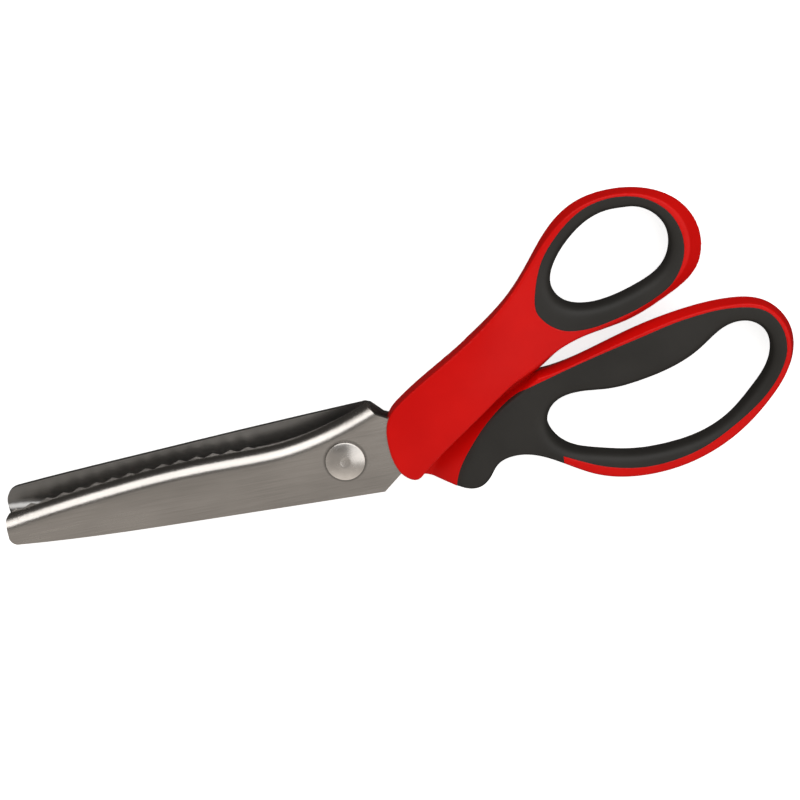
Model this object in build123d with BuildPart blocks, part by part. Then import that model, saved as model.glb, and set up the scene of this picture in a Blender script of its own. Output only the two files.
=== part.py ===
from build123d import *
import os
from math import hypot

# Pinking shears, closed. The origin is on the pivot axis at the back face of the pivot nut,
# +X runs towards the handles and +Z towards the domed screw head. All sizes are in millimetres.
# The front blade and the thumb handle turn about Z; the rear blade and the finger handle stay still.

os.makedirs("parts", exist_ok=True)

# Heights, measured from the plane where the two rows of teeth meet.
MID = 7.8                 # height of that middle plane above the resting face
WEB_OUTER = 6.3           # middle plane to the outer face of each blade's web
SHANK_HALF = 7.8          # middle plane to the outer face of each handle's shank
LOOP_HALF = 4.6           # middle plane to the face of each loop
SHANK_GAP = 0.15          # each shank stops this far short of the middle plane

# Stamped blades.
SHEET = 1.5
BEND_RADIUS = 4.5         # outside radius where the web rolls into the toothed flange
TOOTH_PITCH = 5.0
TOOTH_HEIGHT = 3.0
TOOTH_START = 26.2        # distance from the pivot where the teeth begin
TOOTH_END = 116.0         # beyond the tips
TOOTH_CLEARANCE = 0.03    # half of the gap between meshing teeth
HEEL_EDGE = 0.4           # plain edge beside the pivot, off the middle plane
GROUND_DEPTH = 0.2        # shallow ground strip along the teeth
GROUND_TOP = 1.7
REAR_SHIFT = 1.7          # the rear blade's toothed edge stands this much nearer the pivot
TIP_X = -101.0
TIP_RAKE = 2.6            # the flange's toothed edge ends this much short of the web's tip
PAST_TIP = -110.0
FRONT_TIP_RADIUS = 2.6
REAR_TIP_RADIUS = 4.5

# Pivot.
HEAD_DIAMETER = 11.4
HEAD_WALL = 0.7
DOME_HEIGHT = 0.9
NUT_DIAMETER = 10.6
BARREL_DIAMETER = 6.0
THREAD_DIAMETER = 4.0
RUNNING_CLEARANCE = 0.04
THREAD_CLEARANCE = 0.02
WASHER_DIAMETER = 9.6     # inside the flat of the rear web
WASHER_THICKNESS = 0.5
SPRING_THICKNESS = 0.4
BUSH_DIAMETER = 9.5
SPRING_SHEET = 0.25       # metal of the sprung washer, which is coned to its full thickness
BARREL_SHORT = 0.1        # the barrel stops short of the screw's head
SCREW_SHORT = 1.5         # the screw stops short of the nut's flange
SPANNER_HOLE = 1.4        # two blind holes in the nut's back take a pin spanner
SPANNER_PITCH = 7.6
SPANNER_DEPTH = 0.8
NUT_CHAMFER = 0.4
HEAD_EDGE = 0.15
DISH_RADIUS = 1.6
DISH_DEPTH = 0.12
DISH_LIP = 0.05           # the dish's edge is this far below the crown's height

# Handles.
THUMB_RAMP = (50.0, 70.0)     # along the handle from the pivot, where the shank's face comes down
FINGER_RAMP = (40.0, 60.0)
HOLE_ROUND = 3.0          # rounding of each finger hole's rims
THUMB_DIRECTION = (0.84, 0.54)
FINGER_DIRECTION = (1.0, 0.0)

# Soft grips.
WEB_HALF = 2.4            # hard ring that runs inside each grip, half its height
WEB_INSET = 1.6           # and how far it keeps inside the loop's parting line
LINING = 2.2              # soft plastic between that ring and the hole
TANG_HOLE = 4.0

FAR = 60.0                # past every part's height and the blades' width, for cutters
PAST_LOOPS = 180.0        # past the handles' ends

web_inner = WEB_OUTER - SHEET

# Outside face of the front blade's toothed flange, tip to heel.
FRONT_CREST = [(-101, 2.2), (-86, 4.3), (-72, 5.8), (-58, 7.0), (-44, 7.6), (-28, 7.5),
               (-18, 7.7), (-6, 9.7), (2.5, 12.2), (9.6, 14.8)]
CREST_BEFORE = [(-108, 1.1)]
CREST_AFTER = [(16, 17.4), (28, 24), (FAR, 46)]
FRONT_SPINE = [(9.4, -11.6), (-9, -10.9), (-46, -9.5), (-76, -8.1), (-101, -6.0)]
FRONT_HEEL = [(9.6, 14.0), (10.5, 13.0), (11.3, 12.0), (14.6, 10.1)]
FRONT_TANG = [(30, 18), (46, 27.5), (50, 21), (33, 8.5), (22, -1), (15.2, -7.0)]
FRONT_TANG_HOLES = [(27, 10), (42, 21)]

# The rear blade is the same pressing turned over.
REAR_CREST = [(x, REAR_SHIFT - y) for x, y in FRONT_CREST[:-1]] + [(7.5, -12.6)]
REAR_SPINE = [(8.4, 12.9), (-13, 12.1), (-36, 11.1), (-58, 10.0), (-80, 8.9), (-101, 7.5)]
REAR_HEEL = [(9.0, -11.3), (10.6, -9.9), (14.0, -8.2)]
REAR_TANG = [(24, -6.5), (30, -7.5), (40, 3.5), (41, 8.2), (24, 8.2), (14.8, 8.0), (13.1, 8.8),
             (11.0, 11.1), (9.9, 12.3)]
REAR_TANG_HOLES = [(23, 1), (33, 3.5)]

# Thumb handle: its end over the blade, its parting line, and its front and back rims.
THUMB_SHANK_END = [(20.6, -9.3), (18.9, -9.8), (17.1, -9.0), (13.6, -2.5), (13.1, 2.4), (14.2, 9.0),
                   (17.4, 13.0)]
THUMB_PARTING = [(17.4, 13.0), (27, 19.3), (37, 25.1), (46.5, 31.3), (55, 38), (62.5, 46.3), (70, 55.2),
                 (78.5, 61), (88.5, 62.8), (99.5, 61), (108, 55.5), (112.4, 45), (109.5, 35),
                 (100, 28.5), (88, 23.7), (76, 21.6), (66, 18.3), (60, 14.4), (53.5, 11.6),
                 (41, 5.4), (27, -4.4), (20.6, -9.3)]
THUMB_FRONT = [(17.4, 13.0), (27, 19.3), (37, 25.1), (46.5, 31.3), (55, 38), (62.8, 45.6), (71, 53.6),
               (79.5, 59.4), (88.5, 61.6), (97.5, 59.6), (104, 54), (106, 45.6), (103.3, 38),
               (96.5, 32.6), (86.5, 27.4), (76, 24.6), (66, 21.2), (60, 17.6), (53.5, 14.1),
               (41, 5.6), (27, -4.2), (20.6, -9.3)]
THUMB_BACK = [(17.4, 13.0), (27, 19.3), (37.5, 24.5), (47.5, 30), (56.4, 36.5), (64, 45), (71.4, 53.7),
              (79.5, 59.2), (88.5, 60.8), (98.5, 59.2), (106.4, 54), (110.4, 45), (107.9, 36.2),
              (99.2, 30.3), (87.5, 25.7), (75.6, 23.6), (65.2, 20.1), (59.5, 16), (53, 13),
              (41, 5.6), (27, -4.2), (20.6, -9.3)]
THUMB_STEP = [(37, 33), (42.5, 25), (50, 19.2), (57.5, 16.4), (64, 12)]
THUMB_HOLE = [(93, 57.0), (98.9, 54.8), (102.6, 49.8), (102.9, 43.5), (99.8, 37.7), (92.2, 33.5),
              (83.6, 31.1), (76, 30.8), (70.2, 33.3), (67.9, 38.3), (69.9, 44.8), (75.2, 51),
              (81.7, 55.5), (87.3, 57.1)]
THUMB_INLAY = [(62.4, 35), (64, 29.6), (69, 25.6), (76, 24.6), (84, 25.8), (93, 28.3), (101, 32.3),
               (106, 39.2), (107, 47), (104, 54.5), (97.5, 59.6), (89, 61.2), (80.5, 59.4),
               (72.5, 53.8), (66, 45.8)]

# Finger handle, in the same order.
FINGER_SHANK_END = [(21.5, -11.0), (18, -9.0), (14.6, -4.8), (13.6, 0), (14.2, 5), (16.5, 9.4)]
FINGER_PARTING = [(16.5, 9.4), (30, 12.2), (45, 13.5), (60, 13.8), (74, 16.9), (88, 20.9), (102, 23.6),
                  (116, 24.4), (127, 21.6), (133.1, 12.5), (132, 2.9), (124.5, -7.2), (112.6, -16.6),
                  (99, -22.2), (84.5, -23.9), (70, -20.7), (58, -13.4), (49.5, -10.3), (43.2, -11.8),
                  (40, -15.8), (37, -17.9), (30, -16.0), (21.5, -11.0)]
FINGER_FRONT = [(16.5, 9.4), (30, 12.2), (45, 13.0), (60, 12.9), (74, 15.9), (88, 19.4), (102, 22.4),
                (116, 23.4), (126.8, 20.8), (131.9, 12.4), (130.9, 3.3), (123.7, -6.4), (112.2, -15.4),
                (99, -20.9), (84.5, -22.4), (70.5, -19.3), (58.5, -12.1), (49.3, -9.1), (42.6, -10.9),
                (39.2, -14.9), (36.3, -16.6), (30, -14.8), (21.5, -11.0)]
FINGER_BACK = [(16.5, 9.4), (30, 12.2), (45, 13), (60, 12.3), (74, 14.6), (87.5, 18.4), (101.4, 21.1),
               (115.6, 21.9), (125.4, 19.4), (130.6, 12), (129.5, 3.8), (122.4, -5.5), (111.1, -14.5),
               (98.4, -19.8), (84.7, -21.4), (71.2, -18.5), (58.8, -11.3), (49, -8.5), (42.4, -10.3),
               (38.7, -14.6), (36, -16.2), (29.5, -14.6), (21.5, -11.0)]
FINGER_STEP = [(22.5, -14.5), (27.5, -5.5), (34.5, -0.3), (42, 4.8), (53, 10.4), (60, 14.2), (67, 20)]
FINGER_STEP_TOP = [(31.5, -20), (33.5, -9.5), (38, -2.6), (44, 3.4), (54, 9.6), (61, 14), (67.5, 20)]
FINGER_HOLE = [(120, 17.2), (115.2, 16.8), (106.6, 11.6), (97.7, 7.6), (88.2, 5.5), (78.5, 4.8),
               (68.4, 5.6), (62.2, 3.6), (59.3, -1.9), (62.6, -9.3), (71.9, -13.3), (81.7, -15.6),
               (91.8, -16.0), (101.8, -14.6), (111.1, -10.5), (118.9, -3.9), (125.3, 4.1), (125.7, 12.8)]
FINGER_INLAY = [(29, -18.5), (31.2, -11.5), (35.5, -5), (43, 3), (52, 9), (62, 12.2), (75, 15.6),
                (89, 18.8), (102.6, 21.7), (115.5, 22.6), (125.6, 20.3), (130.3, 13.8), (130.1, 5.2),
                (123.8, -4), (113, -12), (100.4, -18), (86.6, -20), (74, -17.7), (62, -12)]
FINGER_INLAY_OPEN_END = [(58, -FAR), (29, -FAR)]


def inset(points, distance, closed=False):
    """Points moved sideways, to the right of the direction in which they run."""
    moved = []
    last = len(points) - 1
    for i, (x, y) in enumerate(points):
        before = points[i - 1] if closed else points[max(i - 1, 0)]
        after = points[(i + 1) % (last + 1)] if closed else points[min(i + 1, last)]
        along = (after[0] - before[0], after[1] - before[1])
        length = hypot(*along)
        moved.append((x + distance * along[1] / length, y - distance * along[0] / length))
    return moved


def tooth_line(plain_z):
    """Zig-zag of height against distance from the pivot, with a plain run near the pivot."""
    line = [(0, plain_z), (TOOTH_START, plain_z)]
    radius = TOOTH_START
    valley = True
    while radius < TOOTH_END:
        line.append((radius, MID + (TOOTH_HEIGHT if valley else -TOOTH_HEIGHT) / 2))
        radius += TOOTH_PITCH / 2
        valley = not valley
    return line


def under_crest(crest, z_from, z_to, side, bend_radius):
    """Solid on the web's side of a crest line, with its outer edge rolled over."""
    with BuildPart() as block:
        with BuildSketch(Plane.XY.offset(z_from)):
            with BuildLine():
                Spline(*crest)
                Polyline(crest[-1], (crest[-1][0], -FAR * side), (crest[0][0], -FAR * side), crest[0])
            make_face()
        extrude(amount=z_to - z_from)
        outer_face = block.faces().sort_by(Axis.Z)[-1 if side > 0 else 0]
        fillet(outer_face.edges().filter_by(GeomType.BSPLINE), bend_radius)
    return block.part


def blade(crest, spine, heel, tang, tang_holes, side, tip_radius, hole_diameter):
    """One pressed blade: side is +1 for the front blade and -1 for the rear one, turned over."""
    def height(z):
        return MID + side * z

    outer = height(WEB_OUTER)
    inner = height(web_inner)
    edge = height(-2 * TOOTH_HEIGHT)
    crest = [(x, y * side) for x, y in CREST_BEFORE] + crest + [(x, y * side) for x, y in CREST_AFTER]
    skin = under_crest(crest, edge, outer, side, BEND_RADIUS)
    hollow = under_crest(inset(crest, side * SHEET), edge, inner, side, BEND_RADIUS - SHEET)
    ground = inset(crest, side * GROUND_DEPTH)

    with BuildPart() as pressed:
        add(skin)
        add(hollow, mode=Mode.SUBTRACT)

        with BuildSketch(Plane.XY.offset(edge)):
            with BuildLine():
                Polyline((TIP_X, FAR * side), (heel[0][0], FAR * side), *heel, *tang, spine[0])
                Spline(*spine)
                Line(spine[-1], (TIP_X, FAR * side))
            make_face()
        extrude(amount=outer - edge, mode=Mode.INTERSECT)
        corner = pressed.edges().filter_by(Axis.Z).sort_by_distance((*spine[-1], outer))[0]
        fillet(corner, tip_radius)

        # Teeth, cut by turning the zig-zag about the pivot so that the two rows mesh at any angle.
        with BuildSketch(Plane.XZ):
            with BuildLine():
                zigzag = [(x, z + side * TOOTH_CLEARANCE) for x, z in tooth_line(height(HEEL_EDGE))]
                Polyline(*zigzag, (zigzag[-1][0], height(-FAR)), (0, height(-FAR)), zigzag[0])
            make_face()
        revolve(axis=Axis.Z, mode=Mode.SUBTRACT)

        # Ground strip along the outside of the teeth.
        with BuildSketch(Plane.XY.offset(edge)):
            with BuildLine():
                Spline(*ground)
                Polyline(ground[-1], (ground[-1][0], FAR * side), (ground[0][0], FAR * side), ground[0])
            make_face()
        extrude(amount=height(GROUND_TOP) - edge, mode=Mode.SUBTRACT)

        # The flange's end leans back at the tip.
        with BuildSketch(Plane.XZ):
            with BuildLine():
                rake_x = TIP_X + TIP_RAKE
                Polyline((PAST_TIP, edge), (rake_x, edge), (rake_x, height(-TOOTH_HEIGHT / 2)),
                         (TIP_X, inner), (PAST_TIP, inner), close=True)
            make_face()
        extrude(amount=FAR, both=True, mode=Mode.SUBTRACT)

        with BuildSketch(Plane.XY.offset(inner)):
            Circle(hole_diameter / 2)
            with Locations(*tang_holes):
                Circle(TANG_HOLE / 2)
        extrude(amount=outer - inner, mode=Mode.SUBTRACT)
    return pressed


def outline(points, z, shank_end=None):
    """Face inside a handle's outline: one closed curve, or a long curve with the shank's own end."""
    with BuildSketch(Plane.XY.offset(z)) as face:
        with BuildLine():
            if shank_end:
                Spline(*points)
                Spline(*shank_end)
            else:
                Spline(*points, periodic=True)
        make_face()
    return face.sketch


def prism(points, z_from, z_to):
    """Straight solid inside one closed curve."""
    with BuildPart() as block:
        add(outline(points, z_from))
        extrude(amount=z_to - z_from)
    return block.part


def step_down(direction, ramp, side):
    """Cutter that brings the shank's face down to the loop's face along the handle."""
    along = Plane(origin=(0, 0, MID), x_dir=direction, z_dir=(direction[1], -direction[0], 0))
    shank = side * SHANK_HALF
    face = side * LOOP_HALF
    with BuildPart() as cutter:
        with BuildSketch(along):
            with BuildLine():
                Polyline((ramp[0], shank), (ramp[1], face), (PAST_LOOPS, face), (PAST_LOOPS, 2 * shank),
                         (ramp[0], 2 * shank), close=True)
            make_face()
        extrude(amount=PAST_LOOPS, both=True)
    return cutter.part


def clear_of_other_shank(step, step_top, z, z_top):
    """Cutter that keeps one half of a handle off the other handle's shank, up to a stepped edge."""
    faces = []
    for points, height in ((step, z), (step_top, z_top)):
        with BuildSketch(Plane.XY.offset(height)) as face:
            with BuildLine():
                side = FAR if points[0][1] < points[-1][1] else -FAR
                Spline(*points)
                Polyline(points[-1], (points[-1][0], side), (-FAR, side), (-FAR, -side),
                         (points[0][0], -side), points[0])
            make_face()
        faces.append(face.sketch)
    with BuildPart() as cutter:
        loft(faces)
    return cutter.part


def handle_body(side, outlines, shank_end, step, step_top, hole, direction, ramp):
    """Hard core and soft grip together: a shank on one side of the middle plane, a loop on both."""
    parting, shank_rim, loop_rim = outlines
    near = MID + side * SHANK_GAP
    loop_face = MID - side * LOOP_HALF
    hole_prism = prism(hole, -FAR, FAR)
    # The stepped edge is carried on at its own slope, to as far again past the loop's face.
    cut_end = near - 2 * (near - loop_face)
    step_end = [(2 * b[0] - a[0], 2 * b[1] - a[1]) for a, b in zip(step, step_top)]
    with BuildPart() as shank_half:
        loft([outline(parting, near, shank_end), outline(shank_rim, MID + side * SHANK_HALF, shank_end)])
        add(step_down(direction, ramp, side), mode=Mode.SUBTRACT)
        add(hole_prism, mode=Mode.SUBTRACT)
        fillet(hole_rim(shank_half, hole, MID + side * LOOP_HALF), HOLE_ROUND)
    with BuildPart() as loop_half:
        loft([outline(parting, near, shank_end), outline(loop_rim, loop_face, shank_end)])
        add(clear_of_other_shank(step, step_end, near, cut_end), mode=Mode.SUBTRACT)
        add(hole_prism, mode=Mode.SUBTRACT)
        fillet(hole_rim(loop_half, hole, loop_face), HOLE_ROUND)
    with BuildPart() as body:
        add(shank_half)
        add(loop_half)
    return body


def hole_rim(body, hole, z):
    """The edge of a finger hole at one height."""
    middle_x = (min(x for x, y in hole) + max(x for x, y in hole)) / 2
    middle_y = (min(y for x, y in hole) + max(y for x, y in hole)) / 2
    edges = body.edges().filter_by_position(Axis.Z, z - 0.01, z + 0.01)
    return edges.sort_by(lambda e: (e.bounding_box().center() - Vector(middle_x, middle_y, z)).length)[0]


def soft_space(inlay, loop, hole):
    """Where the soft grip goes: the inlay less the hard ring that runs on inside it."""
    with BuildPart() as space:
        add(inlay)
        with BuildSketch(Plane.XY.offset(MID - WEB_HALF)):
            add(outline(inset(loop, WEB_INSET, closed=True), MID - WEB_HALF))
            add(outline(inset(hole, -LINING, closed=True), MID - WEB_HALF), mode=Mode.SUBTRACT)
        extrude(amount=2 * WEB_HALF, mode=Mode.SUBTRACT)
    return space.part


front_blade = blade(FRONT_CREST, FRONT_SPINE, FRONT_HEEL, FRONT_TANG, FRONT_TANG_HOLES, 1,
                    FRONT_TIP_RADIUS, BARREL_DIAMETER + 2 * RUNNING_CLEARANCE)
front_blade.part.label = "front_blade"
export_step(front_blade.part, "parts/front_blade.step")

rear_blade = blade(REAR_CREST, REAR_SPINE, REAR_HEEL, REAR_TANG, REAR_TANG_HOLES, -1,
                   REAR_TIP_RADIUS, BARREL_DIAMETER + 2 * THREAD_CLEARANCE)
rear_blade.part.label = "rear_blade"
export_step(rear_blade.part, "parts/rear_blade.step")

thumb_body = handle_body(1, (THUMB_PARTING, THUMB_FRONT, THUMB_BACK), THUMB_SHANK_END, THUMB_STEP,
                         THUMB_STEP, THUMB_HOLE, THUMB_DIRECTION, THUMB_RAMP)
finger_body = handle_body(-1, (FINGER_PARTING, FINGER_BACK, FINGER_FRONT), FINGER_SHANK_END, FINGER_STEP,
                          FINGER_STEP_TOP, FINGER_HOLE, FINGER_DIRECTION, FINGER_RAMP)

thumb_inlay = prism(THUMB_INLAY, -FAR, FAR)
with BuildPart() as finger_inlay:
    with BuildSketch(Plane.XY.offset(-FAR)):
        with BuildLine():
            Spline(*FINGER_INLAY)
            Polyline(FINGER_INLAY[-1], *FINGER_INLAY_OPEN_END, FINGER_INLAY[0])
        make_face()
    extrude(amount=2 * FAR)

thumb_soft = soft_space(thumb_inlay, THUMB_PARTING, THUMB_HOLE)
finger_soft = soft_space(finger_inlay.part, FINGER_PARTING, FINGER_HOLE)

with BuildPart() as thumb_handle:
    add(thumb_body)
    add(thumb_soft, mode=Mode.SUBTRACT)
    add(front_blade, mode=Mode.SUBTRACT)
thumb_handle.part.label = "thumb_handle"
export_step(thumb_handle.part, "parts/thumb_handle.step")

with BuildPart() as thumb_grip:
    add(thumb_body)
    add(thumb_soft, mode=Mode.INTERSECT)
thumb_grip.part.label = "thumb_grip"
export_step(thumb_grip.part, "parts/thumb_grip.step")

with BuildPart() as finger_handle:
    add(finger_body)
    add(finger_soft, mode=Mode.SUBTRACT)
    add(rear_blade, mode=Mode.SUBTRACT)
finger_handle.part.label = "finger_handle"
export_step(finger_handle.part, "parts/finger_handle.step")

with BuildPart() as finger_grip:
    add(finger_body)
    add(finger_soft, mode=Mode.INTERSECT)
finger_grip.part.label = "finger_grip"
export_step(finger_grip.part, "parts/finger_grip.step")

# The pivot. The nut's barrel runs through the whole stack and the front blade turns on it.
nut_top = MID - WEB_OUTER
rear_web_top = nut_top + SHEET
spring_top = rear_web_top + SPRING_THICKNESS
rear_washer_top = spring_top + WASHER_THICKNESS
front_web_bottom = MID + web_inner
front_web_top = MID + WEB_OUTER
bush_top = front_web_bottom - WASHER_THICKNESS
bore = BARREL_DIAMETER / 2 + RUNNING_CLEARANCE

with BuildPart() as pivot_nut:
    with BuildSketch():
        Circle(NUT_DIAMETER / 2)
    extrude(amount=nut_top)
    chamfer(pivot_nut.edges().sort_by(Axis.Z)[0], NUT_CHAMFER)
    with BuildSketch(Plane.XY.offset(nut_top)):
        Circle(BARREL_DIAMETER / 2)
    extrude(amount=front_web_top - BARREL_SHORT - nut_top)
    with BuildSketch(Plane.XY.offset(nut_top)):
        Circle(THREAD_DIAMETER / 2 + THREAD_CLEARANCE)
    extrude(amount=front_web_top, mode=Mode.SUBTRACT)
    with BuildSketch():
        with GridLocations(SPANNER_PITCH, 0, 2, 1):
            Circle(SPANNER_HOLE / 2)
    extrude(amount=SPANNER_DEPTH, mode=Mode.SUBTRACT)
pivot_nut.part.label = "pivot_nut"
export_step(pivot_nut.part, "parts/pivot_nut.step")

with BuildPart() as pivot_screw:
    with BuildSketch(Plane.XZ):
        with BuildLine():
            rim_z = front_web_top + HEAD_WALL
            crown_z = rim_z + DOME_HEIGHT
            Polyline((0, nut_top + SCREW_SHORT), (THREAD_DIAMETER / 2, nut_top + SCREW_SHORT),
                     (THREAD_DIAMETER / 2, front_web_top), (HEAD_DIAMETER / 2 - HEAD_EDGE, front_web_top),
                     (HEAD_DIAMETER / 2, front_web_top + HEAD_EDGE), (HEAD_DIAMETER / 2, rim_z - HEAD_EDGE))
            Spline((HEAD_DIAMETER / 2, rim_z - HEAD_EDGE), (HEAD_DIAMETER / 2 - HEAD_EDGE, rim_z),
                   (HEAD_DIAMETER / 4, crown_z - DOME_HEIGHT / 4), (DISH_RADIUS, crown_z - DISH_LIP),
                   (0, crown_z - DISH_DEPTH), tangents=((0, 1), (-1, 0)))
            Line((0, crown_z - DISH_DEPTH), (0, nut_top + SCREW_SHORT))
        make_face()
    revolve(axis=Axis.Z)
pivot_screw.part.label = "pivot_screw"
export_step(pivot_screw.part, "parts/pivot_screw.step")

with BuildPart() as spring_washer:
    with BuildSketch(Plane.XZ):
        with BuildLine():
            lift = SPRING_THICKNESS - SPRING_SHEET
            Polyline((bore, rear_web_top + lift), (WASHER_DIAMETER / 2, rear_web_top),
                     (WASHER_DIAMETER / 2, rear_web_top + SPRING_SHEET), (bore, spring_top), close=True)
        make_face()
    revolve(axis=Axis.Z)
spring_washer.part.label = "spring_washer"
export_step(spring_washer.part, "parts/spring_washer.step")

for name, bottom, top, diameter in (
    ("rear_thrust_washer", spring_top, rear_washer_top, WASHER_DIAMETER),
    ("pivot_bush", rear_washer_top, bush_top, BUSH_DIAMETER),
    ("front_thrust_washer", bush_top, front_web_bottom, WASHER_DIAMETER),
):
    with BuildPart() as ring:
        with BuildSketch(Plane.XY.offset(bottom)):
            Circle(diameter / 2)
            Circle(bore, mode=Mode.SUBTRACT)
        extrude(amount=top - bottom)
    ring.part.label = name
    export_step(ring.part, f"parts/{name}.step")
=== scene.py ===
from math import cos, radians, sin, tan

import bmesh
import bpy
import numpy
from mathutils import Matrix, Vector


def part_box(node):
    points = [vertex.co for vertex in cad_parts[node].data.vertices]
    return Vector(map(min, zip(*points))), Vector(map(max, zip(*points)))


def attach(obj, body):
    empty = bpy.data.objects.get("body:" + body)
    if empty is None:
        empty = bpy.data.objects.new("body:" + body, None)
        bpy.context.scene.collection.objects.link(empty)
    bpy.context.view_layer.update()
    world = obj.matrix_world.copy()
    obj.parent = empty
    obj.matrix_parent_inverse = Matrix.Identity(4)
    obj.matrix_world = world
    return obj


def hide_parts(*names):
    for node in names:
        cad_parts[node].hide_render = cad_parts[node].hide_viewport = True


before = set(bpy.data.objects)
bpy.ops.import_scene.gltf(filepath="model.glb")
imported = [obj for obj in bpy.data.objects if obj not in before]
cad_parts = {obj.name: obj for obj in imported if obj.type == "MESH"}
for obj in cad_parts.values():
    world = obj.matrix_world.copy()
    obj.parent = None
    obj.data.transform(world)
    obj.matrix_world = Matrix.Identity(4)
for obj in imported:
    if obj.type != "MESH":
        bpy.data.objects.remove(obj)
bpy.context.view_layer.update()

MM = 0.001

# Heights in the frame, in millimetres. Z runs up from the table to the domed screw head.
SCREW_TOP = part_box("pivot_screw")[1].z / MM
MIDDLE = (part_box("thumb_grip")[0].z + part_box("thumb_grip")[1].z) / 2 / MM
REAR_WEB = (1.5, 3.0)     # outside and inside faces of the rear blade's web

# The handles' meshes. Lengths are in millimetres.
VOXEL = 0.42
SMOOTHING = 5             # rounds over a whole handle
GRIP_SMOOTHING = 45       # further rounds inside the soft grips' outlines
SMOOTHING_FACTOR = 0.5
PRISM_HALF = 40.0         # half height of the prisms that cut the grips out
SHANK_HALF = 7.8          # from the handles' middle plane to a shank's face
LOOP_HALF = 4.6           # and to a loop's face
EASING = 14.0             # the slope between the two is this much longer at each end than in the CAD
CROWN = 0.8               # the thumb shank's face is this much higher along its middle than at its edges
CROWN_MIDDLE = -8.3       # across the thumb handle's direction, from the pivot
CROWN_HALF = 9.8          # from there to an edge
CROWN_FADE = (45, 70)     # from full to none, along the handle
THUMB_DIRECTION = Vector((0.84, 0.54, 0)).normalized()
FINGER_DIRECTION = Vector((1, 0, 0))
THUMB_RAMP = (50, 70)     # where the CAD shank slopes down to its loop, along the handle
FINGER_RAMP = (40, 60)

# Outlines of the soft grips, which the CAD grips follow, in millimetres.
THUMB_GRIP_LINE = [(62.4, 35), (64, 29.6), (69, 25.6), (76, 24.6), (84, 25.8), (93, 28.3), (101, 32.3),
                   (106, 39.2), (107, 47), (104, 54.5), (97.5, 59.6), (89, 61.2), (80.5, 59.4),
                   (72.5, 53.8), (66, 45.8)]
FINGER_GRIP_LINE = [(29, -18.5), (31.2, -11.5), (35.5, -5), (43, 3), (52, 9), (62, 12.2), (75, 15.6),
                    (89, 18.8), (102.6, 21.7), (115.5, 22.6), (125.6, 20.3), (130.3, 13.8), (130.1, 5.2),
                    (123.8, -4), (113, -12), (100.4, -18), (86.6, -20), (74, -17.7), (62, -12)]
FINGER_GRIP_OUTSIDE = [(58, -60), (29, -60)]
LINE_STEPS = 8            # points on each stretch of an outline's curve

# Materials. Lengths are in millimetres, and noise is in cycles per metre along X, Y and Z.
HEAD_RADIUS = 5.7         # of the screw's head
# Painted shadow: a ring of darker steel around the screw's head, where the head's shadow falls.
HEAD_SHADOW_WIDTH = 0.9               # width of the painted shadow around it
HEAD_SHADOW_OVERLAP = 0.1       # how far the painted shadow runs under the head
HEAD_SHADOW_LEVEL = 0.3
# Painted shade: the rear blade's inside face, which lies under the front blade, is darkened above a height.
INSIDE_SHADE_BLEND = 0.2          # the painted shade fades out over this height both ways
INSIDE_SHADE_LEVEL = 0.52
BRUSHED = (60, 4000, 4000)
POLISHED = (500, 500, 500)
CLOUDS = (25, 60, 60)
CLOUD_SHARE = 0.7         # of the clouds against the grain
STEEL_TONES = (0.38, 0.62)  # levels of noise that get the darkest and the lightest colour
STEEL_RELIEF = 0.05
STEEL_UNEVEN = 0.06       # roughness varies this much both ways
PLASTIC_CLOUDS = 60
PLASTIC_UNEVEN = (-0.04, 0.05)
TONES = (0.3, 0.7)        # as STEEL_TONES, for plastic and paper
RELIEF_DEPTH = 0.02

# Camera and light directions: the view leans back from straight above and is turned about Z.
LEAN = radians(18.5)
TURN = radians(11.6)
RIGHT = Vector((cos(TURN), -sin(TURN), 0))
UP_PAGE = Vector((sin(TURN), cos(TURN), 0))
TO_CAMERA = UP_PAGE * sin(LEAN) + Vector((0, 0, 1)) * cos(LEAN)
PAGE_UP = UP_PAGE * cos(LEAN) - Vector((0, 0, 1)) * sin(LEAN)
CAMERA_DISTANCE = 0.85    # metres
LENS = 132.6
SENSOR = 36
FRAMING = (15.8, 18.1)    # from the screw head to the picture's middle, rightwards and up, in millimetres

# Studio. WALLS gives greys against the part of a direction that points up the page, from -1 to 1. The spans
# say where the side walls and the ground take over: parts of a direction, to a side and downwards.
WALLS = [(-1.0, 0.9), (-0.78, 0.7), (-0.5, 0.30), (-0.06, 0.29), (0.12, 0.08), (0.4, 0.04), (1.0, 0.03)]
SIDE_WALLS = 0.4
SIDE_SPAN = (0.4, 0.8)
GROUND = 0.035
GROUND_SPAN = (-0.15, 0.0)
WALL_TINT = (1.0, 0.94, 0.875)

# Softboxes: degrees from overhead up the page and to the right, width and height in metres, watts.
KEY = (50, 0, 1.6, 1.0, 8.6)
SIDE = (2, 38, 0.8, 1.1, 2.3)
LIGHT_DISTANCE = 1.0

# Floor. It lies just under the shears.
FLOOR_RADIUS = 3.0        # metres
FLOOR_DROP = 0.05         # millimetres
FLOOR_GLOW = 0.75
PAPER = ((0.9, 0.9, 0.9), (0.93, 0.93, 0.93))
PAPER_GRAIN = 300


# ---------------------------------------------------------------- meshes

def curve_through(points, closed):
    """Points on a Catmull-Rom curve through the given points."""
    count = len(points)
    spans = count if closed else count - 1
    result = []
    for i in range(spans):
        four = []
        for k in (i - 1, i, i + 1, i + 2):
            four.append(Vector(points[k % count] if closed else points[min(max(k, 0), count - 1)]))
        p0, p1, p2, p3 = four
        for step in range(LINE_STEPS):
            t = step / LINE_STEPS
            result.append(0.5 * (2 * p1 + (p2 - p0) * t + (2 * p0 - 5 * p1 + 4 * p2 - p3) * t * t
                                 + (3 * p1 - p0 - 3 * p2 + p3) * t ** 3))
    if not closed:
        result.append(Vector(points[-1]))
    return result


def new_object(name, mesh):
    piece = bpy.data.objects.new(name, mesh)
    bpy.context.scene.collection.objects.link(piece)
    return piece


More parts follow.
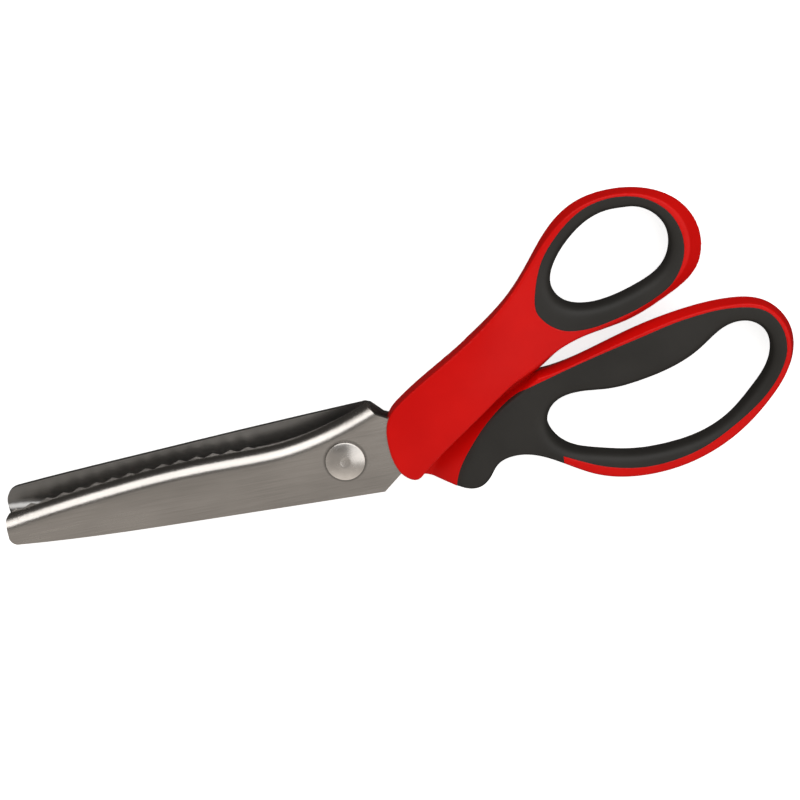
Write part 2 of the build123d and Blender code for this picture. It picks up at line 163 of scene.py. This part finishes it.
def prism(name, line):
    """Upright closed solid over an outline."""
    mesh = bpy.data.meshes.new(name)
    shape = bmesh.new()
    low = [shape.verts.new((p.x * MM, p.y * MM, -PRISM_HALF * MM)) for p in line]
    floor_face = shape.faces.new(low)
    raised = bmesh.ops.extrude_face_region(shape, geom=[floor_face])["geom"]
    top = [v for v in raised if isinstance(v, bmesh.types.BMVert)]
    bmesh.ops.translate(shape, verts=top, vec=(0, 0, 2 * PRISM_HALF * MM))
    bmesh.ops.recalc_face_normals(shape, faces=shape.faces)
    shape.to_mesh(mesh)
    shape.free()
    return new_object(name, mesh)


def applied(piece):
    """The piece's mesh with its modifiers applied."""
    graph = bpy.context.evaluated_depsgraph_get()
    mesh = bpy.data.meshes.new_from_object(piece.evaluated_get(graph))
    piece.modifiers.clear()
    piece.data = mesh
    return piece


def joined_copy(name, nodes):
    """One mesh that holds copies of several CAD nodes."""
    shape = bmesh.new()
    for node in nodes:
        shape.from_mesh(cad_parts[node].data)
    mesh = bpy.data.meshes.new(name)
    shape.to_mesh(mesh)
    shape.free()
    return new_object(name, mesh)


def eased(t):
    """Smooth step from 0 to 1."""
    t = min(max(t, 0), 1)
    return t * t * (3 - 2 * t)


def ease_ramp(mesh, side, direction, ramp):
    """Turn the straight ramp between a shank's face and its loop's face into a long easy curve."""
    drop = SHANK_HALF - LOOP_HALF
    start = ramp[0] - EASING
    length = ramp[1] - ramp[0] + 2 * EASING
    for vertex in mesh.vertices:
        height = vertex.co.z / MM - MIDDLE
        if side * height > 0:
            along = vertex.co.dot(direction) / MM
            before = SHANK_HALF - drop * min(max((along - ramp[0]) / (ramp[1] - ramp[0]), 0), 1)
            after = SHANK_HALF - drop * eased((along - start) / length)
            vertex.co.z = (MIDDLE + height * after / before) * MM


def inside(mesh, line):
    """Indices of the vertices that lie inside an outline, seen from above."""
    where = numpy.empty(len(mesh.vertices) * 3)
    mesh.vertices.foreach_get("co", where)
    x, y = where.reshape(-1, 3)[:, :2].T / MM
    crossings = numpy.zeros(len(x), dtype=int)
    for a, b in zip(line, line[1:] + line[:1]):
        if a.y != b.y:
            spans = (y < a.y) != (y < b.y)
            crossings += spans & (x < a.x + (y - a.y) * (b.x - a.x) / (b.y - a.y))
    return numpy.flatnonzero(crossings % 2).tolist()


def crown(mesh, direction):
    """Give the front face of a shank a slight crown that fades out towards the loop."""
    across = Vector((-direction.y, direction.x, 0))
    for vertex in mesh.vertices:
        height = vertex.co.z / MM - MIDDLE
        if height > 0:
            along = vertex.co.dot(direction) / MM
            fade = 1 - eased((along - CROWN_FADE[0]) / (CROWN_FADE[1] - CROWN_FADE[0]))
            off_middle = min(abs(vertex.co.dot(across) / MM - CROWN_MIDDLE) / CROWN_HALF, 1)
            vertex.co.z -= CROWN * fade * off_middle ** 2 * height / SHANK_HALF * MM


def smooth_body(name, nodes, line, side, direction, ramp):
    """A moulded body around the given CAD nodes, with every edge softened and the grips full and round."""
    body = joined_copy(name, nodes)
    remesh = body.modifiers.new("remesh", "REMESH")
    remesh.mode = "VOXEL"
    remesh.voxel_size = VOXEL * MM
    applied(body)
    ease_ramp(body.data, side, direction, ramp)
    if side > 0:
        crown(body.data, direction)
    soft = body.vertex_groups.new(name="soft")
    soft.add(inside(body.data, line), 1, "REPLACE")
    for group, rounds in (("", SMOOTHING), ("soft", GRIP_SMOOTHING)):
        smooth = body.modifiers.new("smooth", "SMOOTH")
        smooth.factor = SMOOTHING_FACTOR
        smooth.iterations = rounds
        smooth.vertex_group = group
    return applied(body)


def split(body, cutter, operation, name):
    """The part of a body inside or outside an upright prism."""
    piece = new_object(name, body.data.copy())
    boolean = piece.modifiers.new("cut", "BOOLEAN")
    boolean.operation = operation
    boolean.object = cutter
    boolean.solver = "EXACT"
    applied(piece)
    for face in piece.data.polygons:
        face.use_smooth = True
    return piece


def handle(side, line, body_name, shank_side, direction, shank_ramp):
    """Hard handle and soft grip of one side, as two pieces that fit together."""
    body = smooth_body(side + "_body", [side + "_handle", side + "_grip"], line, shank_side, direction,
                       shank_ramp)
    cutter = prism(side + "_cutter", line)
    hard = split(body, cutter, "DIFFERENCE", side + "_handle_moulding")
    soft = split(body, cutter, "INTERSECT", side + "_grip_moulding")
    for spare in (body, cutter):
        bpy.data.objects.remove(spare)
    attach(hard, body_name)
    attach(soft, body_name)
    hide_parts(side + "_handle")
    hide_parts(side + "_grip")
    return hard, soft


# ---------------------------------------------------------------- materials

def material(name):
    made = bpy.data.materials.new(name)
    made.use_nodes = True
    return made, made.node_tree.nodes, made.node_tree.links


def noise(nodes, links, stretch, scale, detail):
    """Noise on the object's own coordinates, finer along an axis the larger its stretch."""
    where = nodes.new("ShaderNodeTexCoord")
    mapping = nodes.new("ShaderNodeMapping")
    mapping.inputs["Scale"].default_value = stretch
    texture = nodes.new("ShaderNodeTexNoise")
    texture.inputs["Scale"].default_value = scale
    texture.inputs["Detail"].default_value = detail
    links.new(where.outputs["Object"], mapping.inputs["Vector"])
    links.new(mapping.outputs["Vector"], texture.inputs["Vector"])
    return texture.outputs["Fac"]


def ramp(nodes, links, source, low, high, tones):
    """Colour that runs from low to high as source runs between the two tones."""
    node = nodes.new("ShaderNodeValToRGB")
    node.color_ramp.elements[0].position = tones[0]
    node.color_ramp.elements[1].position = tones[1]
    node.color_ramp.elements[0].color = (*low, 1)
    node.color_ramp.elements[1].color = (*high, 1)
    links.new(source, node.inputs["Fac"])
    return node.outputs["Color"]


def spread(nodes, links, source, low, high):
    """Number that runs from low to high as source runs from 0 to 1."""
    node = nodes.new("ShaderNodeMapRange")
    node.inputs["To Min"].default_value = low
    node.inputs["To Max"].default_value = high
    links.new(source, node.inputs["Value"])
    return node.outputs["Result"]


def bump(nodes, links, source, shader, strength):
    node = nodes.new("ShaderNodeBump")
    node.inputs["Strength"].default_value = strength
    node.inputs["Distance"].default_value = RELIEF_DEPTH * MM
    links.new(source, node.inputs["Height"])
    links.new(node.outputs["Normal"], shader.inputs["Normal"])


def mixed(nodes, links, first, second, share):
    """Blend of two numbers, with the given share of the second."""
    node = nodes.new("ShaderNodeMix")
    node.inputs["Factor"].default_value = share
    links.new(first, node.inputs["A"])
    links.new(second, node.inputs["B"])
    return node.outputs["Result"]


def steel(name, low, high, roughness, grain=BRUSHED):
    """Steel with a fine grain, brushed along X unless given another, and broad, faint clouds."""
    made, nodes, links = material(name)
    shader = nodes["Principled BSDF"]
    shader.inputs["Metallic"].default_value = 1
    fine = noise(nodes, links, grain, 1, 3)
    tone = mixed(nodes, links, fine, noise(nodes, links, CLOUDS, 1, 3), CLOUD_SHARE)
    links.new(ramp(nodes, links, tone, low, high, STEEL_TONES), shader.inputs["Base Color"])
    links.new(spread(nodes, links, tone, roughness - STEEL_UNEVEN, roughness + STEEL_UNEVEN),
              shader.inputs["Roughness"])
    bump(nodes, links, fine, shader, STEEL_RELIEF)
    return made


def darken(made, axes, start, end, shade):
    """Paint shade into a steel: darken it as the distance from the origin, counted along some axes, goes
    from start to end.
    """
    nodes = made.node_tree.nodes
    links = made.node_tree.links
    shader = nodes["Principled BSDF"]
    own_colour = shader.inputs["Base Color"].links[0].from_socket
    where = nodes.new("ShaderNodeTexCoord")
    part = nodes.new("ShaderNodeVectorMath")
    part.operation = "MULTIPLY"
    part.inputs[1].default_value = axes
    measure = nodes.new("ShaderNodeVectorMath")
    measure.operation = "LENGTH"
    level = nodes.new("ShaderNodeMapRange")
    level.inputs["From Min"].default_value = start * MM
    level.inputs["From Max"].default_value = end * MM
    shaded = nodes.new("ShaderNodeMix")
    shaded.data_type = "RGBA"
    shaded.blend_type = "MULTIPLY"
    shaded.inputs["B"].default_value = (shade, shade, shade, 1)
    links.new(where.outputs["Object"], part.inputs[0])
    links.new(part.outputs["Vector"], measure.inputs[0])
    links.new(measure.outputs["Value"], level.inputs["Value"])
    links.new(level.outputs["Result"], shaded.inputs["Factor"])
    links.new(own_colour, shaded.inputs["A"])
    links.new(shaded.outputs["Result"], shader.inputs["Base Color"])
    return made


def shaded_above(made, height):
    """Darken a steel above a height: painted shade on the pressing's inside face, which lies in the shade
    under the other blade.
    """
    return darken(made, (0, 0, 1), height - INSIDE_SHADE_BLEND, height + INSIDE_SHADE_BLEND, INSIDE_SHADE_LEVEL)


def shaded_around_head(made):
    """Darken a steel in a narrow ring around the screw's head: a painted shadow of the head."""
    return darken(made, (1, 1, 0), HEAD_RADIUS + HEAD_SHADOW_WIDTH, HEAD_RADIUS - HEAD_SHADOW_OVERLAP, HEAD_SHADOW_LEVEL)


def plastic(name, low, high, roughness, grain, relief, specular):
    """Moulded plastic with a fine spark-eroded grain."""
    made, nodes, links = material(name)
    shader = nodes["Principled BSDF"]
    shader.inputs["Specular IOR Level"].default_value = specular
    broad = noise(nodes, links, (1, 1, 1), PLASTIC_CLOUDS, 3)
    links.new(ramp(nodes, links, broad, low, high, TONES), shader.inputs["Base Color"])
    links.new(spread(nodes, links, broad, roughness + PLASTIC_UNEVEN[0], roughness + PLASTIC_UNEVEN[1]),
              shader.inputs["Roughness"])
    fine = noise(nodes, links, (1, 1, 1), 1 / (grain * MM), 2)
    bump(nodes, links, fine, shader, relief)
    return made


def dress(piece, made):
    piece.data.materials.clear()
    piece.data.materials.append(made)


# ---------------------------------------------------------------- stage

def softbox(name, toward_up, toward_right, width, height, power, target):
    """Rectangular light, placed by its angles from straight overhead."""
    light = bpy.data.lights.new(name, "AREA")
    light.shape = "RECTANGLE"
    light.size = width
    light.size_y = height
    light.energy = power
    lamp = bpy.data.objects.new(name, light)
    direction = (Vector((0, 0, 1)) + UP_PAGE * tan(radians(toward_up))
                 + RIGHT * tan(radians(toward_right))).normalized()
    lamp.location = target + direction * LIGHT_DISTANCE
    lamp.rotation_euler = direction.to_track_quat("Z", "Y").to_euler()
    bpy.context.scene.collection.objects.link(lamp)


def look_along(back, up):
    """Rotation of a camera whose back points along one direction, with another one up the picture."""
    side = up.cross(back).normalized()
    return Matrix((side, back.cross(side).normalized(), back.normalized())).transposed().to_quaternion()


def add_camera(head):
    """The camera looks down a little off straight overhead, leaning towards the top of the page."""
    centre = head + RIGHT * FRAMING[0] * MM + PAGE_UP * FRAMING[1] * MM
    data = bpy.data.cameras.new("camera")
    data.lens = LENS
    data.sensor_width = SENSOR
    camera = bpy.data.objects.new("camera", data)
    camera.location = centre + TO_CAMERA * CAMERA_DISTANCE
    camera.rotation_mode = "QUATERNION"
    camera.rotation_quaternion = look_along(TO_CAMERA, PAGE_UP)
    bpy.context.scene.collection.objects.link(camera)
    bpy.context.scene.camera = camera


def add_floor():
    """White paper. It doesn't show in the gloss, as if the shears were held well above it."""
    mesh = bpy.data.meshes.new("floor")
    shape = bmesh.new()
    bmesh.ops.create_circle(shape, cap_ends=True, segments=96, radius=FLOOR_RADIUS)
    shape.to_mesh(mesh)
    shape.free()
    floor = new_object("floor", mesh)
    floor.location.z = -FLOOR_DROP * MM
    floor.visible_glossy = False
    floor.visible_diffuse = False
    made, nodes, links = material("floor_paper")
    shader = nodes["Principled BSDF"]
    shader.inputs["Roughness"].default_value = 0.9
    shader.inputs["Specular IOR Level"].default_value = 0.1
    shader.inputs["Emission Color"].default_value = (1, 1, 1, 1)
    shader.inputs["Emission Strength"].default_value = FLOOR_GLOW
    grain = noise(nodes, links, (1, 1, 1), PAPER_GRAIN, 4)
    links.new(ramp(nodes, links, grain, *PAPER, TONES), shader.inputs["Base Color"])
    dress(floor, made)


def add_surroundings():
    """Studio walls, grey to the sides and darker towards the key softbox, above dark ground."""
    world = bpy.data.worlds.new("studio")
    world.use_nodes = True
    nodes = world.node_tree.nodes
    links = world.node_tree.links
    where = nodes.new("ShaderNodeTexCoord")

    def along(axis, low, high):
        """From 0 to 1 as the direction's part along an axis goes from low to high."""
        product = nodes.new("ShaderNodeVectorMath")
        product.operation = "DOT_PRODUCT"
        product.inputs[1].default_value = axis
        links.new(where.outputs["Generated"], product.inputs[0])
        level = nodes.new("ShaderNodeMapRange")
        level.inputs["From Min"].default_value = low
        level.inputs["From Max"].default_value = high
        links.new(product.outputs["Value"], level.inputs["Value"])
        return level.outputs["Result"]

    walls = nodes.new("ShaderNodeValToRGB")
    marks = walls.color_ramp.elements
    while len(marks) < len(WALLS):
        marks.new(0.5)
    for mark, (place, grey) in zip(marks, WALLS):
        mark.position = (place + 1) / 2
        mark.color = tuple(grey * tint for tint in WALL_TINT) + (1,)
    links.new(along(UP_PAGE, -1, 1), walls.inputs["Fac"])
    tone = walls.outputs["Color"]
    for axis, (low, high), grey in ((RIGHT, SIDE_SPAN, SIDE_WALLS), (-RIGHT, SIDE_SPAN, SIDE_WALLS),
                                    (Vector((0, 0, -1)), GROUND_SPAN, GROUND)):
        both = nodes.new("ShaderNodeMix")
        both.data_type = "RGBA"
        links.new(along(axis, low, high), both.inputs["Factor"])
        links.new(tone, both.inputs["A"])
        both.inputs["B"].default_value = tuple(grey * tint for tint in WALL_TINT) + (1,)
        tone = both.outputs["Result"]
    links.new(tone, nodes["Background"].inputs["Color"])
    bpy.context.scene.world = world


def build_stage():
    """Camera, floor, surroundings and lights, all placed around the screw's head."""
    head = Vector((0, 0, SCREW_TOP * MM))
    add_camera(head)
    add_floor()
    add_surroundings()
    bpy.context.scene.view_settings.view_transform = "Standard"
    softbox("key", *KEY, head)
    softbox("side", *SIDE, head)


# ---------------------------------------------------------------- the shears

build_stage()

# Each material takes its darkest and lightest colour and its roughness, then, for a plastic, its grain in
# millimetres, its relief and its specular level.
red = plastic("red_plastic", (0.70, 0.005, 0.004), (0.78, 0.007, 0.005), 0.30, 0.35, 0.04, 0.15)
rubber = plastic("grip_rubber", (0.024, 0.0225, 0.020), (0.032, 0.030, 0.027), 0.50, 0.3, 0.10, 0.3)
# The blade steel carries a painted shadow in a ring around the screw's head.
blade_steel = shaded_around_head(steel("blade_steel", (0.60, 0.568, 0.535), (0.76, 0.719, 0.677), 0.26))
# The rear blade's steel carries painted shade on its inside face, under the front blade.
rear_steel = shaded_above(steel("rear_blade_steel", (0.60, 0.588, 0.572), (0.76, 0.745, 0.725), 0.32),
                        (REAR_WEB[0] + REAR_WEB[1]) / 2)
pivot_steel = steel("pivot_steel", (0.72, 0.685, 0.65), (0.90, 0.86, 0.82), 0.27, POLISHED)
washer_steel = steel("washer_steel", (0.42, 0.42, 0.42), (0.5, 0.5, 0.5), 0.35)
bush_black = plastic("bush_plastic", (0.02, 0.02, 0.02), (0.03, 0.03, 0.03), 0.4, 0.3, 0.05, 0.5)

thumb_hard, thumb_soft = handle("thumb", curve_through(THUMB_GRIP_LINE, True), "thumb_side", 1,
                                THUMB_DIRECTION, THUMB_RAMP)
finger_line = curve_through(FINGER_GRIP_LINE, False) + [Vector(p) for p in FINGER_GRIP_OUTSIDE]
finger_hard, finger_soft = handle("finger", finger_line, "finger_side", -1, FINGER_DIRECTION, FINGER_RAMP)
for hard in (thumb_hard, finger_hard):
    dress(hard, red)
for soft in (thumb_soft, finger_soft):
    dress(soft, rubber)

for node, made in (("front_blade", blade_steel), ("rear_blade", rear_steel), ("pivot_screw", pivot_steel),
                   ("pivot_nut", pivot_steel), ("spring_washer", washer_steel), ("pivot_bush", bush_black),
                   ("front_thrust_washer", bush_black), ("rear_thrust_washer", bush_black)):
    dress(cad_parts[node], made)
